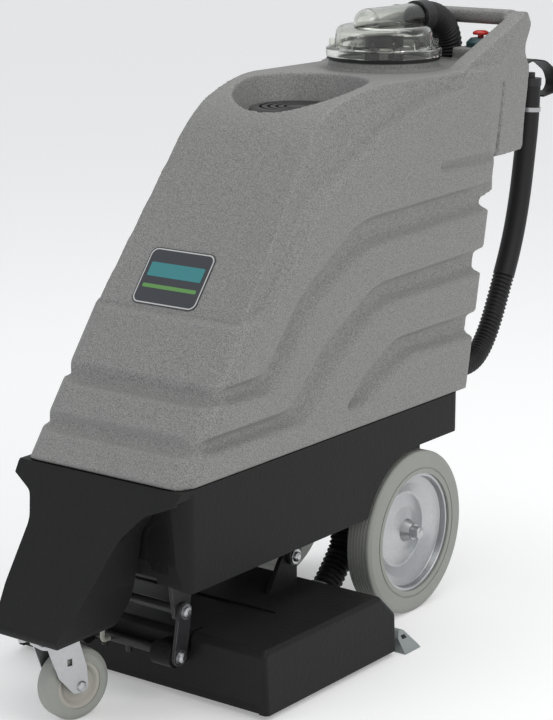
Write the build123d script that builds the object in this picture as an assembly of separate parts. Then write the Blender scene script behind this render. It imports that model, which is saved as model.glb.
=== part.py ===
from build123d import *
from math import radians, tan
import os

os.makedirs("parts", exist_ok=True)

# Upright carpet cleaner. The front is -Y, the operator stands at +Y, +X is the machine's left-hand side
# as seen from the front. All stations below are measured from the rear axle (y) and the floor (z).
# save() then moves them, so that the origin is the middle of the machine's box, on the floor.
front_reach = 713.0
front_extent = 712.0
rear_extent = 478.2
axle_y = (front_extent - rear_extent) / 2

# Body
body_width = 290.0
seam_z = 325.0
skirt_z = 180.0
base_wall = 5.0
base_front_y = -556.0
base_rear_y = 124.0
corner_radius = 35.0
wave_depth = 12.0
upper_width = 262.0
tank_top = 493.0
lip_gap = 0.4

# Rear wheels
wheel_dia = 254.0
wheel_width = 44.0
wheel_proud = 4.0
wheel_gap = 9.0
bead_dia = 184.0
axle_dia = 16.0
running_gap = 0.05
hub_dia = 36.0
inner_width = 196.0

# Caster
caster_dia = 102.0
caster_width = 32.0
caster_hub_dia = 68.0
caster_y = -655.0
caster_trail = 28.0
caster_yaw = 14.0
leg_z = 130.5
plate_thickness = 3.0

# Brush deck
deck_width = 462.0
deck_front_y = -487.0
deck_rear_y = -173.0
deck_low_z = 8.0
deck_top_z = 102.0
deck_wall = 5.0
brush_y = -428.0
brush_dia = 84.0
core_dia = 36.0
brush_length = 420.0
link_x = 101.0
link_length_y = 12.0
link_length_z = 62.5
link_thickness = 5.0
link_width = 26.0
front_pivot_y = -503.0
front_pivot_z = 136.0
rear_pivot_y = -238.0
rear_pivot_z = 209.5
shaft_dia = 15.0
pin_dia = 9.0
motor_y = -268.0
motor_z = 56.0
motor_dia = 72.0
belt_x = -214.0
motor_pulley_dia = 30.0
brush_pulley_dia = 45.0

# Vacuum shoe
shoe_width = 482.0
shoe_y = -146.0
shoe_depth = 38.0
shoe_height = 28.0
duct_dia = 52.0
duct_y = -60.0
duct_x = 60.0

# Dome and recovery hose
dome_y = 115.5
flange_dia = 178.0
dome_dia = 152.0
dome_top_z = 882.0
dome_wall = 3.0
neck_rise = 14.0
gasket_thickness = 4.7
port_dia = 44.0
port_z = 888.0
port_front_y = 72.0
port_rear_y = 214.0
hose_dia = 46.0
hose_y = 300.0
hose_seat = 2.0
cuff_dia = 51.0

# Fill pocket
fill_y = -105.0
pocket_floor = 440.0
pocket_low_dia = 176.0
pocket_top_dia = 218.0
fill_dia = 110.0
cap_dia = 146.0

# Pipes inside the tank
pipe_dia = 40.0
pipe_x = -40.0
pipe_foot_y = -95.0

# Handle and console
arm_inner_x = 100.0
arm_outer_x = 130.0
console_rise = 20.0
console_front_y = 262.0
console_rear_y = 344.0
console_inner_x = 30.0

# Drain hose
drain_x = 90.0
drain_dia = 35.0
outlet_rise = 22.0

half = body_width / 2
upper_half = upper_width / 2
wheel_r = wheel_dia / 2
deck_half = deck_width / 2
wheel_out = half + wheel_proud
wheel_mid = wheel_out - wheel_width / 2
top_z = seam_z + tank_top
brush_z = brush_dia / 2


def save(name, *solids):
    """Moves solids from axle stations to the machine's own origin and writes them as one node."""
    parts = [Pos(0, axle_y, 0) * solid for solid in solids]
    export_step(parts[0] if len(parts) == 1 else Compound(parts), f"parts/{name}.step")


def fitting_radius(before, here, after, wanted=None):
    """A corner's radius: as wanted, but no more than its two sides have room for."""
    run_in = Vector(*here) - Vector(*before)
    run_out = Vector(*after) - Vector(*here)
    turn = radians(run_in.get_angle(run_out))
    room = 0.45 * min(run_in.length, run_out.length) / tan(turn / 2)
    return room if wanted is None else min(wanted, room)


def outline(points):
    """A closed face in its plane's own axes; each point is (across, up) or (across, up, corner radius)."""
    spots = [point[:2] for point in points]
    radii = []
    for index, point in enumerate(points):
        after = spots[(index + 1) % len(spots)]
        radii.append(fitting_radius(spots[index - 1], spots[index], after, point[2]) if len(point) > 2 else 0)
    face = make_face(FilletPolyline(*spots, radius=radii, close=True)).face()
    return face if face.normal_at().Z > 0 else -face


def side_slab(points, x_low, x_high):
    """A side view, given as (y, z) points, made solid from x_low to x_high."""
    return extrude(Plane.YZ.offset(x_low) * outline(points), amount=x_high - x_low)


def front_slab(points, y_low, y_high):
    """A front view, given as (x, z) points, made solid from y_low to y_high."""
    plane = Plane(origin=(0, y_high, 0), x_dir=(1, 0, 0), z_dir=(0, -1, 0))
    return extrude(plane * outline(points), amount=y_high - y_low)


def plan_slab(points, z_low, z_high):
    """A plan view, given as (x, y) points, made solid from z_low to z_high."""
    return extrude(Plane.XY.offset(z_low) * outline(points), amount=z_high - z_low)


def block(x, y, z):
    """A box between two limits on each axis."""
    size = (x[1] - x[0], y[1] - y[0], z[1] - z[0])
    return Pos((x[0] + x[1]) / 2, (y[0] + y[1]) / 2, (z[0] + z[1]) / 2) * Box(*size)


def rod_x(dia, x_low, x_high, y, z):
    return Pos((x_low + x_high) / 2, y, z) * Rot(0, 90, 0) * Cylinder(dia / 2, x_high - x_low)


def rod_y(dia, y_low, y_high, x, z):
    return Pos(x, (y_low + y_high) / 2, z) * Rot(90, 0, 0) * Cylinder(dia / 2, y_high - y_low)


def rod_z(dia, z_low, z_high, x, y):
    return Pos(x, y, (z_low + z_high) / 2) * Cylinder(dia / 2, z_high - z_low)


def turned_x(points, y=0.0, z=0.0):
    """A ring about an axis along X; the points are (x, radius)."""
    return Pos(0, y, z) * revolve(Plane.XZ * outline(points), axis=Axis.X)


def turned_z(points, x=0.0, y=0.0):
    """A ring about an upright axis; the points are (radius, z)."""
    return Pos(x, y, 0) * revolve(Plane.XZ * outline(points), axis=Axis.Z)


def both_sides(solid):
    return solid, mirror(solid, about=Plane.YZ)


def pair(solid):
    """The same solid on both sides of the machine, as one shape."""
    right, left = both_sides(solid)
    return right + left


def tube(path, outer_dia, inner_dia=0.0):
    """A round tube along a path; with no inner diameter it is solid."""
    ring = Plane(origin=path @ 0, z_dir=path % 0) * Circle(outer_dia / 2)
    solid = sweep(ring, path=path)
    if inner_dia:
        bore = Plane(origin=path @ 0, z_dir=path % 0) * Circle(inner_dia / 2)
        solid = solid - sweep(bore, path=path)
    return solid


def eased(points):
    """Corner radii for a hose's route."""
    return [fitting_radius(*corner) for corner in zip(points, points[1:], points[2:])]


# ---- Tank: one rotomoulded shell. Its outlines are (y, height above the seam). ----
slope_foot = (-560, 5)
slope_head = (-421, 194)
front_pitch = (slope_head[1] - slope_foot[1]) / (slope_head[0] - slope_foot[0])

body_outline = [
    (-556, 0), slope_foot, (*slope_head, 8), (-395, 199), (-251, 346, 200), (-109, 424, 260),
    (21, 462, 300), (116, 473, 20), (138, tank_top, 12), (336, tank_top, 14), (345, 484, 10),
    (339, 444), (322, 353, 8), (215, 354, 6), (221, 344, 3), (154, 5, 3), (150, 0),
]
upper_outline = [
    (-400, 150), (-408, 201), (-209, 459, 160), (-95, tank_top, 360), (230, tank_top), (230, 300),
]
# The top edge of the lowest full-height band, along each side.
shoulder_line = [(-560, 190), (-366, 197, 40), (-240, 336, 220), (-100, 414, 280), (30, 452, 300), (132, 462, 30)]
shoulder_end = [(176, 530), (176, 640), (-560, 640)]



def edge_round(low_point, high_point, radius):
    """What to take off both sides to round the upright edge between two (y, z) points."""
    outward = 1 if low_point[0] > 0 else -1
    direction = (0, high_point[0] - low_point[0], high_point[1] - low_point[1])
    plane = Plane(origin=(half, *low_point), x_dir=(1, 0, 0), z_dir=direction)
    square = Pos(-radius / 2 + 2, outward * (2 - radius / 2)) * Rectangle(radius + 4, radius + 4)
    round_part = Pos(-radius, -outward * radius) * Circle(radius)
    return pair(Pos(0, 0, 0) * extrude(plane * (square - round_part), amount=600, both=True))


body = side_slab(body_outline, -half, half)
body = body - edge_round(slope_foot, slope_head, corner_radius)
body = body - edge_round((154, 5), (221, 344), corner_radius / 2)

upper = side_slab(upper_outline, -upper_half, upper_half)
ridge_out = (20350, -3154, 3804)
ridge_cut = Plane(origin=(129, -405, 205), z_dir=ridge_out) * Pos(0, 0, 60) * Box(1400, 1400, 120)
upper = upper - pair(ridge_cut)


def side_groove(lower, upper, depth):
    """
    A channel in both sides of the tank, between two lines of (y, height, radius): a riser slopes in from
    the lower one and a longer ramp from the upper one.
    """
    sections = []
    for x, share in ((half + 1, -1 / depth), (half - depth, 1)):
        low = [(p[0] - share * riser_run[0], p[1] + share * riser_run[1], *p[2:]) for p in lower]
        high = [(p[0] + share * ramp_run[0], p[1] - share * ramp_run[1], *p[2:]) for p in upper]
        sections.append(Plane.YZ.offset(x) * outline(low + high))
    return pair(loft(sections, ruled=True))


riser_run = (6, 9)
ramp_run = (6, 7)
body = body - side_groove(shoulder_line, shoulder_end, half - upper_half)

# Two waves sweep from the front corners up to the rear ribs; a third starts part of the way back.
far_front = -640
far_rear = 300
high_low = [(far_front, 96), (-350, 96, 40), (-262, 200, 200), (-140, 262, 180), (far_rear, 277)]
high_up = [(far_rear, 322), (-150, 308, 150), (-296, 222, 160), (-378, 126, 50), (far_front, 126)]
middle_low = [(far_front, 35), (-277, 36, 40), (-205, 106, 160), (-95, 172, 150), (far_rear, 179)]
middle_up = [(far_rear, 222), (-110, 208, 140), (-240, 140, 140), (-318, 64, 50), (far_front, 62)]
low_low = [(-184, 30, 1), (-124, 35, 30), (-85, 59, 60), (-10, 83, 90), (far_rear, 76)]
low_up = [(far_rear, 121), (-55, 118, 90), (-138, 78, 60)]
for low_line, up_line in ((high_low, high_up), (middle_low, middle_up), (low_low, low_up)):
    body = body - side_groove(low_line, up_line, wave_depth)
body = body - side_groove([(60, 348), (260, 346)], [(260, 368), (60, 366)], wave_depth / 2)

# The same grooves across the front, and wider ones across the back.
front_high = [(-620, 94), (-493, 96), (-477, 99), (-471, 110), (-472, 126), (-620, 126)]
front_middle = [(-640, 34), (-538, 36), (-523, 39), (-517, 50), (-517, 62), (-640, 62)]
rear_high = [(290, 317), (208, 317), (196, 312), (188, 283), (204, 270), (290, 268)]
rear_middle = [(270, 222), (190, 220), (177, 214), (171, 184), (184, 174), (270, 172)]
rear_low = [(250, 120), (168, 120), (160, 114), (154, 86), (164, 74), (250, 72)]
for points in (front_high, front_middle, rear_high, rear_middle, rear_low):
    body = body - side_slab(points, -half - 1, half + 1)


def corner_cut(front_y, low, high):
    """Carries a front groove round the tank's two front corners."""
    inner = half - wave_depth
    points = [(inner, front_y + 20), (inner - 16, front_y + 2), (inner - 16, front_y - 40),
              (half + 20, front_y - 40), (half + 20, front_y + 32)]
    return pair(plan_slab(points, low, high))


body = body - corner_cut(-484, 100, 122) - corner_cut(-530, 40, 58)

# Handle arms rise from the shoulders to a cross tube; below them the sides lean in towards the back.
arm_outline = [
    (96, 470), (150, 500, 20), (333, 571, 8), (348, 548, 8), (326, 512, 6), (338, 490), (300, 470),
]
arm_flare = Plane(origin=(arm_outer_x, 159, 504), x_dir=(0, 174, 67), z_dir=(48, -5.5, 15)) * Pos(0, 0, 40) * Box(1200, 600, 80)
arms = pair(side_slab(arm_outline, arm_inner_x, half) - arm_flare)
handle = side_slab([(306, 547, 8), (306, 571, 8), (333, 571, 8), (346, 549, 8)], -arm_inner_x - 2, arm_inner_x + 2)
fin_facet = Plane(origin=(half, 198, 400), x_dir=(0, 0, 1), z_dir=(142, 20, 0)) * Pos(0, 0, 40) * Box(1200, 900, 80)
fin_facet = fin_facet & block((0, 300), (190, 500), (351, 600))

console = pair(side_slab(
    [(console_front_y, tank_top - 5), (console_front_y, tank_top + console_rise, 5),
     (console_rear_y, tank_top + console_rise, 5), (console_rear_y, tank_top - 5)],
    console_inner_x, arm_inner_x + 2))
neck = rod_z(flange_dia - 8, tank_top - 4, tank_top + neck_rise, 0, dome_y)
hose_boss = rod_z(cuff_dia + 8, tank_top - 2, tank_top + hose_seat, 0, hose_y)

tank = (body + upper + arms + handle - pair(fin_facet)) + console + neck + hose_boss

pocket = Pos(0, fill_y, (pocket_floor + tank_top) / 2 + 10) * Cone(
    pocket_low_dia / 2, pocket_top_dia / 2, tank_top - pocket_floor + 20)
tank = tank - pocket

# Hollow inside: the main chamber, the chamber under the top, and the openings in them.
main_hollow = [
    (-540, 8), (-436, 150, 10), (-388, 192, 10), (-240, 320, 60), (-100, 396, 60), (120, 440),
    (326, 440, 10), (314, 370, 6), (196, 366, 10), (136, 8),
]
top_hollow = [(-380, 214, 6), (-216, 430, 6), (190, 430, 6), (190, 300), (-200, 200)]
tank = tank - side_slab(main_hollow, -half + 20, half - 20) - side_slab(top_hollow, -100, 100)
dome_bore = rod_z(136, 400, tank_top + neck_rise + 1, 0, dome_y)
fill_bore = rod_z(fill_dia, 400, pocket_floor + 1, 0, fill_y)
hose_bore = rod_z(pipe_dia + 1, 400, tank_top - 18, 0, hose_y) + rod_z(pipe_dia - 4, 400, tank_top + 7, 0, hose_y)
drain_bore = rod_y(drain_dia + 1, 100, 300, drain_x, outlet_rise)
tank = tank - dome_bore - fill_bore - hose_bore - drain_bore

# Where the standpipe and the recovery pipe come up through the tank's floor.
tank = tank - rod_z(pipe_dia + 1, -1, 12, pipe_x, pipe_foot_y) - rod_z(pipe_dia + 1, -1, 12, duct_x, duct_y)

# Recesses for the pieces set into it: the label and the switch panel.
tank = Pos(0, 0, seam_z) * tank
label_size = (116, 89)
label_x = -14.3
label_y = -378.0
label_plane = Plane(origin=(label_x, label_y, seam_z + 201 + (408 + label_y) * 258 / 199), x_dir=(1, 0, 0), z_dir=(0, -258, 199))
label_face = label_plane * RectangleRounded(*label_size, 12)
label = extrude(label_face, amount=1.0)
save("label_plate", Pos(0, -0.02, 0) * label)

panel_z = top_z + console_rise
switch_y = (300.0, 300.0, 300.0)
switch_x = (-46.0, -66.0, -86.0)
rocker_pocket = [block((x - 7, x + 7), (y - 12, y + 12), (panel_z - 14, panel_z + 5)) for x, y in zip(switch_x, switch_y)]
for pocket_box in rocker_pocket:
    tank = tank - pocket_box
stop_x = 60.0
stop_y = 300.0
inlet_z = seam_z + 410
inlet_x = -50.0
tank = tank - rod_z(14.6, panel_z - 14, panel_z + 1, stop_x, stop_y)
tank = tank - rod_y(34, 300, 400, inlet_x, inlet_z)
save("tank_shell", tank)

# ---- Base: the black lower housing, open underneath, with its front leg and wheel arches. ----
seat_z = seam_z - lip_gap
base_outline = [
    (base_front_y - 3, seat_z), (base_front_y, skirt_z + 40, 6), (base_front_y + 8, skirt_z, 10),
    (base_rear_y - 40, skirt_z), (base_rear_y - 40, 262, 6), (base_rear_y - 12, 262, 8), (base_rear_y, 274, 8),
    (base_rear_y - 1, seat_z),
]
base = side_slab(base_outline, -half, half)
base = base - edge_round((base_front_y - 3, 200), (base_front_y - 3, 300), corner_radius - 8)
base = base - edge_round((base_rear_y, 200), (base_rear_y, 300), corner_radius / 2)
arch = rod_x(wheel_dia + 2 * wheel_gap, inner_width / 2, half + 1, 0, wheel_r)
behind = block((inner_width / 2, half + 1), (0, 400), (0, wheel_r + wheel_r + wheel_gap))
base = base - pair(arch) - pair(behind)

leg_right = [
    (half + 0.0, seat_z + 20), (half, seat_z - 4), (half - 3, seat_z - 16), (102, 292, 26), (80, 262, 30), (70, 190, 40),
    (55, leg_z + 6), (44, leg_z - 20),
]
leg_front = leg_right + [(-point[0], *point[1:]) for point in reversed(leg_right)]
leg_side = [
    (base_front_y - 4, seat_z), (-front_reach, 143, 12), (-front_reach + 3, leg_z, 6), (-592, leg_z, 12), (-572, 160, 10),
    (-566, 240), (-566, seat_z - 12), (-520, seat_z - 10), (-520, seat_z),
]
leg = front_slab(leg_front, -front_reach, -500) & side_slab(leg_side, -half, half)
base = base + leg

wall = base_wall
cavity_outline = [
    (base_front_y + wall, skirt_z - 1), (base_front_y + wall, seam_z - 8), (base_rear_y - wall - 2, seam_z - 8),
    (base_rear_y - wall - 2, 262 + wall), (base_rear_y - 40 - wall, 262 + wall), (base_rear_y - 40 - wall, skirt_z - 1),
]
cavity = side_slab(cavity_outline, -inner_width / 2 + wall, inner_width / 2 - wall)
bay_x = inner_width / 2 - wall - 1
bay_front = base_front_y + wall
side_cavity = plan_slab(
    [(bay_x, bay_front + 2), (half - wall, bay_front + 2, 40), (half - wall, -wheel_r - wheel_gap - wall), (bay_x, -wheel_r - wheel_gap - wall)],
    skirt_z - 1, seam_z - 8)
base = base - cavity - pair(side_cavity)
leg_hollow = side_slab(
    [(base_front_y + 10, 300, 6), (-690, 152, 6), (-676, 138), (-596, 138), (-577, 165), (-572, 240), (-572, 262), (-540, 262), (-540, 300, 6)],
    -40, 40)
base = base - leg_hollow
window_depth = 3.0
leg_window = front_slab([(84, 204, 14), (80, 262, 24), (112, 284, 14), (122, 262, 14), (116, 204, 6)], base_front_y - 20, base_front_y + window_depth)
base = base - pair(leg_window)
base = base - rod_z(pipe_dia + 1, seam_z - 20, seam_z + 1, pipe_x, pipe_foot_y) - rod_z(pipe_dia + 1, seam_z - 20, seam_z + 1, duct_x, duct_y)
base = base - rod_x(axle_dia + 1, -half, half, 0, wheel_r)

axle_web = block((inner_width / 2 - wall, inner_width / 2), (-30, 30), (wheel_r - 24, skirt_z + 2))
axle_web = axle_web - rod_x(axle_dia + 0.2, 0, half, 0, wheel_r)
base = base + pair(axle_web)
bolt_spots = [(x, caster_y + y) for x in (-24, 24) for y in (-36, 36)]
for x, y in bolt_spots:
    base = base - rod_z(8.2, leg_z - 1, leg_z + 7, x, y)
save("base_housing", base)

# ---- Rear axle and wheels ----
save("rear_axle", rod_x(axle_dia, -wheel_out - 6, wheel_out + 6, 0, wheel_r))

tread_grooves = 6
groove_depth = 1.2
groove_width = 2.0


def tyre():
    """A plain industrial tyre with fine grooves round its tread and a step on each wall."""
    w = wheel_width / 2
    bead = bead_dia / 2
    ring = turned_x([(-w, bead), (-w, wheel_r - 7, 3), (-w + 3, wheel_r, 4), (w - 3, wheel_r, 4), (w, wheel_r - 7, 3), (w, bead)])
    for face_x in (-w, w):
        ring = ring - turned_x([(face_x - 1, bead + 7), (face_x - 1, bead + 10), (face_x + 1, bead + 10), (face_x + 1, bead + 7)])
    pitch = (wheel_width - 12) / tread_grooves
    for index in range(tread_grooves):
        x = (index - (tread_grooves - 1) / 2) * pitch
        ring = ring - turned_x([(x - groove_width / 2, wheel_r - groove_depth), (x + groove_width / 2, wheel_r - groove_depth),
                                (x + groove_width / 2, wheel_r + 1), (x - groove_width / 2, wheel_r + 1)])
    return ring


def wheel_disc():
    """A pressed steel disc, dished towards the machine, with a hub tube; +X is its outer face."""
    rim = bead_dia / 2
    bore = axle_dia / 2 + running_gap
    w = wheel_width / 2
    sheet = 3.0
    profile = [
        (-w + 4, bore), (-w + 4, hub_dia / 2), (3 - sheet, hub_dia / 2), (-2 - sheet, 36, 4), (-6 - sheet, 58, 6), (3 - sheet, 74, 6),
        (3 - sheet, rim - sheet), (-w + 2, rim - sheet), (-w + 2, rim), (w - 3, rim), (w - 3, rim - 5, 2), (8, rim - 6, 2),
        (3, 74, 6), (-6, 58, 6), (-2, 36, 4), (3, hub_dia / 2), (w - 6, hub_dia / 2 - 6), (w - 6, bore),
    ]
    return turned_x(profile)


for side, sign in (("right", 1), ("left", -1)):
    turned = Rot(0, 0, 0 if sign > 0 else 180)
    place = Pos(sign * wheel_mid, 0, wheel_r) * turned
    save(f"tyre_{side}", place * tyre())
    save(f"wheel_disc_{side}", place * wheel_disc())

cap_profile = [(wheel_out - 6, axle_dia / 2 + 0.4), (wheel_out - 6, 12), (wheel_out - 4.5, 12), (wheel_out - 4.5, 9.5), (wheel_out + 6.5, 9.5, 3),
               (wheel_out + 9, 5, 2), (wheel_out + 9, 0), (wheel_out + 6.3, 0), (wheel_out + 6.3, axle_dia / 2 + 0.4)]
axle_cap = turned_x(cap_profile, 0, wheel_r)
save("axle_caps", *both_sides(Pos(0.6, 0, 0) * axle_cap))

# ---- Caster, built about its own swivel with the wheel trailing to +Y, then turned to its yaw ----
caster_r = caster_dia / 2
swivel = Pos(0, caster_y, 0) * Rot(0, 0, -caster_yaw)
plate_low = leg_z - plate_thickness - 0.1
plate = block((-33, 33), (caster_y - 46, caster_y + 46), (plate_low, leg_z - 0.1))
for x, y in bolt_spots:
    plate = plate - rod_z(8.6, plate_low - 1, leg_z + 1, x, y)
race_low = plate_low - 8
plate = plate + turned_z([(0, race_low - 0), (23, race_low), (23, race_low + 3, 1), (18, plate_low), (0, plate_low)], 0, caster_y)
save("caster_plate", plate)

fork_half = caster_width / 2 + 2.5
fork_sheet = 2.5
crown_top = race_low - 0.3
crown_low = crown_top - 5
cheek = side_slab(
    [(-24, crown_low + 2), (-8, 70, 12), (caster_trail - 12, caster_r - 9, 10), (caster_trail + 12, caster_r - 9, 10), (caster_trail + 9, 78, 10), (26, crown_low + 2)],
    fork_half, fork_half + fork_sheet)
crown = plan_slab([(-fork_half - fork_sheet, -30, 10), (fork_half + fork_sheet, -30, 10), (fork_half + fork_sheet, 27, 6), (-fork_half - fork_sheet, 27, 6)], crown_low, crown_top)
fork = pair(cheek) + crown
fork = fork - block((-60, 60), (6, 14), (84, 94)) - rod_x(8.2, -60, 60, caster_trail, caster_r)
save("caster_fork", swivel * fork)

cw = caster_width / 2
hub_bore = 4.05
tread = turned_x([(-cw, caster_hub_dia / 2 + 0.01), (-cw, caster_r - 8, 5), (-cw + 5, caster_r, 6), (cw - 5, caster_r, 6), (cw, caster_r - 8, 5), (cw, caster_hub_dia / 2 + 0.01)], caster_trail, caster_r)
save("caster_tyre", swivel * tread)
hub = turned_x([(-cw - 1.6, hub_bore), (-cw - 1.6, 10), (-cw + 4, 12), (-cw + 5, 24, 3), (-cw + 1, 29, 2), (-cw + 1, caster_hub_dia / 2),
                (cw - 1, caster_hub_dia / 2), (cw - 1, 29, 2), (cw - 5, 24, 3), (cw - 4, 12), (cw + 1.6, 10), (cw + 1.6, hub_bore)], caster_trail, caster_r)
save("caster_hub", swivel * hub)
end_x = fork_half + fork_sheet
axle_bolt = turned_x([(-end_x - 5, 0), (-end_x - 5, 6), (-end_x - 0.1, 6.5), (-end_x - 0.1, 4), (end_x + 0.1, 4), (end_x + 0.1, 7.5), (end_x + 3.2, 6, 1.5), (end_x + 4.6, 0)], caster_trail, caster_r)
save("caster_axle", swivel * axle_bolt)

# ---- Deck suspension: two parallel pairs of links between the base and the brush deck ----
lower_y = front_pivot_y - link_length_y
lower_z = front_pivot_z - link_length_z
ear_y = rear_pivot_y - link_length_y
ear_z = rear_pivot_z - link_length_z
bracket_x = link_x - link_thickness / 2 - 1.0
pin_gap = 2 * running_gap


def crossmember(pivot_y, pivot_z, beam_z, dia):
    """A steel strip across the base with an ear down each side for the link's upper pin."""
    beam = block((-half + wall + 0.2, half - wall - 0.2), (pivot_y - 26, pivot_y + 26), (beam_z, beam_z + 4))
    ear = side_slab([(pivot_y - 24, beam_z + 1), (pivot_y - 14, pivot_z - 13, 10), (pivot_y + 14, pivot_z - 13, 10), (pivot_y + 24, beam_z + 1)],
                    bracket_x - 6, bracket_x)
    return beam + pair(ear) - rod_x(dia + pin_gap, -half, half, pivot_y, pivot_z)


def link(pivot_y, pivot_z, upper_dia, lower_dia):
    """A flat link, running down and forward from its upper pin."""
    low_y = pivot_y - link_length_y
    low_z = pivot_z - link_length_z
    ends = Circle(link_width / 2)
    plane = Plane.YZ.offset(link_x - link_thickness / 2)
    shape = make_hull((Pos(pivot_y, pivot_z) * ends).edges() + (Pos(low_y, low_z) * ends).edges())
    bar = extrude(plane * shape, amount=link_thickness)
    return bar - rod_x(upper_dia, 0, half, pivot_y, pivot_z) - rod_x(lower_dia, 0, half, low_y, low_z)


def bolt_head(y, z, x_face, dia=15.0, height=5.0):
    """A domed head on a washer, outside face x_face."""
    washer = rod_x(dia + 7, x_face, x_face + 1.5, y, z)
    head = turned_x([(x_face + 1.4, 0), (x_face + 1.4, dia / 2), (x_face + 1.4 + height * 0.6, dia / 2, 1.5), (x_face + 1.4 + height, dia / 4, 1), (x_face + 1.4 + height, 0)], y, z)
    return washer + head


front_beam_z = skirt_z + 6
rear_beam_z = rear_pivot_z + 18
save("front_crossmember", crossmember(front_pivot_y, front_pivot_z, front_beam_z, shaft_dia))
save("rear_crossmember", crossmember(rear_pivot_y, rear_pivot_z, rear_beam_z, shaft_dia))
shaft_reach = link_x + link_thickness / 2
save("lift_shaft", rod_x(shaft_dia, -shaft_reach, shaft_reach, front_pivot_y, front_pivot_z))
save("front_link_arms", *both_sides(link(front_pivot_y, front_pivot_z, shaft_dia, pin_dia + pin_gap)))
rear_shaft = rod_x(shaft_dia, -shaft_reach, shaft_reach, rear_pivot_y, rear_pivot_z)
rear_heads = pair(bolt_head(rear_pivot_y, rear_pivot_z, shaft_reach - 0.2))
save("rear_link_arms", pair(link(rear_pivot_y, rear_pivot_z, shaft_dia, pin_dia + pin_gap)) + rear_shaft + rear_heads)


save("lift_shaft_bolts", *both_sides(bolt_head(front_pivot_y, front_pivot_z, shaft_reach + 0.05)))
pin_inner = link_x - link_thickness / 2 - 22
lower_pins = []
for pin_y, pin_z in ((lower_y, lower_z), (ear_y, ear_z)):
    pin = rod_x(pin_dia, pin_inner, shaft_reach + 1, pin_y, pin_z) + bolt_head(pin_y, pin_z, shaft_reach + 0.5)
    lower_pins += both_sides(pin)
save("lower_link_bolts", *lower_pins)

# ---- Brush deck ----
dz = deck_low_z
deck_outline = [
    (deck_front_y, dz), (deck_front_y - 7, deck_top_z - 8, 6), (deck_front_y + 1, deck_top_z, 8), (deck_rear_y - 42, deck_top_z, 8),
    (deck_rear_y - 3, 66, 8), (deck_rear_y, dz),
]
deck = side_slab(deck_outline, -deck_half, deck_half)
deck_edges = [e for e in deck.edges() if abs(e.center().X) > deck_half - 1 and e.center().Z > 20 and e.length > 60]
deck = fillet(deck_edges, 7)
chamber_r = brush_dia / 2 + 8
end_wall = 10.0
inner_half = deck_half - end_wall
chamber = rod_x(2 * chamber_r, -inner_half, inner_half, brush_y, brush_z) & block((-500, 500), (-900, 0), (0, deck_top_z - deck_wall))
chamber = chamber + block((-inner_half, inner_half), (brush_y - chamber_r, brush_y + chamber_r), (0, brush_z - 10))
motor_bay = block((-inner_half, inner_half), (brush_y + chamber_r + deck_wall, deck_rear_y - deck_wall - 4), (0, 60))
motor_bay = motor_bay + block((-inner_half, inner_half), (brush_y + chamber_r + deck_wall, deck_rear_y - 50), (50, deck_top_z - deck_wall))
belt_window = block((-inner_half - 1, -inner_half + 24), (brush_y, motor_y), (10, deck_top_z - 20))
deck = deck - chamber - motor_bay - belt_window
top_slot = plan_slab([(-150, -368, 6), (150, -368, 6), (150, -356, 6), (-150, -356, 6)], deck_top_z - 2.5, deck_top_z + 2)
deck = deck - top_slot
skirt_step = block((-deck_half + 14, deck_half - 14), (deck_front_y - 10, deck_front_y + 3), (0, dz + 14))
deck = deck - skirt_step
boss = rod_x(34, 62, bracket_x - 1, lower_y, lower_z)
boss_web = block((62, bracket_x - 1), (lower_y, deck_front_y + 2), (lower_z - 14, lower_z + 14))
deck_ear = side_slab([(-306, deck_top_z - 2), (-278, ear_z - 4, 8), (ear_y - 14, ear_z + 12, 8), (ear_y + 12, ear_z + 12, 6), (ear_y + 13, deck_top_z - 2)], bracket_x - 8, bracket_x - 1)
deck = deck + pair(boss + boss_web) + pair(deck_ear)
pin_hole = pin_dia + 0.06
deck = deck - rod_x(pin_hole, -half, half, lower_y, lower_z) - rod_x(pin_hole, -half, half, ear_y, ear_z)
deck = deck - chamber
journal_dia = 14.0
deck = deck - rod_x(journal_dia + 2 * running_gap, -deck_half + 3, deck_half - 3, brush_y, brush_z)
link_room = 1.2
for lift in range(4, 37, 4):
    arm_hull = make_hull((Pos(lower_y, lower_z) * Circle(link_width / 2 + link_room)).edges()
                         + (Pos(lower_y + link_length_y, lower_z + link_length_z) * Circle(link_width / 2 + link_room)).edges())
    arm_room = extrude(Plane.YZ.offset(link_x - link_thickness / 2 - link_room) * arm_hull, amount=link_thickness + 2 * link_room)
    deck = deck - pair(Pos(0, lower_y, lower_z) * Rot(-lift, 0, 0) * Pos(0, -lower_y, -lower_z) * arm_room)
save("brush_housing", deck)

cover_points = [(brush_y - 36, 28, 12), (brush_y - 36, 80, 16), (motor_y + 34, 80, 16), (motor_y + 34, 28, 12)]
cover = side_slab(cover_points, -deck_half - 2.5, -deck_half - 0.05)
save("belt_cover", cover)

brush_half = brush_length / 2
core = rod_x(core_dia, belt_x + 9, brush_half, brush_y, brush_z) + rod_x(journal_dia, -inner_half - 6, inner_half + 6, brush_y, brush_z)

rows = 8
tuft_angle = 360 / rows
bristle_low = core_dia / 2 - 0.02
bristle_row = block((belt_x + 22, brush_half - 4), (-4, 4), (bristle_low - 1.5, brush_dia / 2))
bristles = []
for index in range(rows):
    bristles.append(Pos(0, brush_y, brush_z) * Rot(index * tuft_angle, 0, 0) * bristle_row)
core_body = rod_x(core_dia, belt_x + 9, brush_half, brush_y, brush_z)
save("brush_bristles", *[row - core_body for row in bristles])


def pulley(dia, y, z, bore_dia):
    w = 7.0
    ring = turned_x([(belt_x - w, bore_dia / 2), (belt_x - w, dia / 2 + 2), (belt_x - w + 1.5, dia / 2 + 2), (belt_x - w + 1.5, dia / 2 - 1),
                     (belt_x + w - 1.5, dia / 2 - 1), (belt_x + w - 1.5, dia / 2 + 2), (belt_x + w, dia / 2 + 2), (belt_x + w, bore_dia / 2)], y, z)
    return ring


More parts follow.
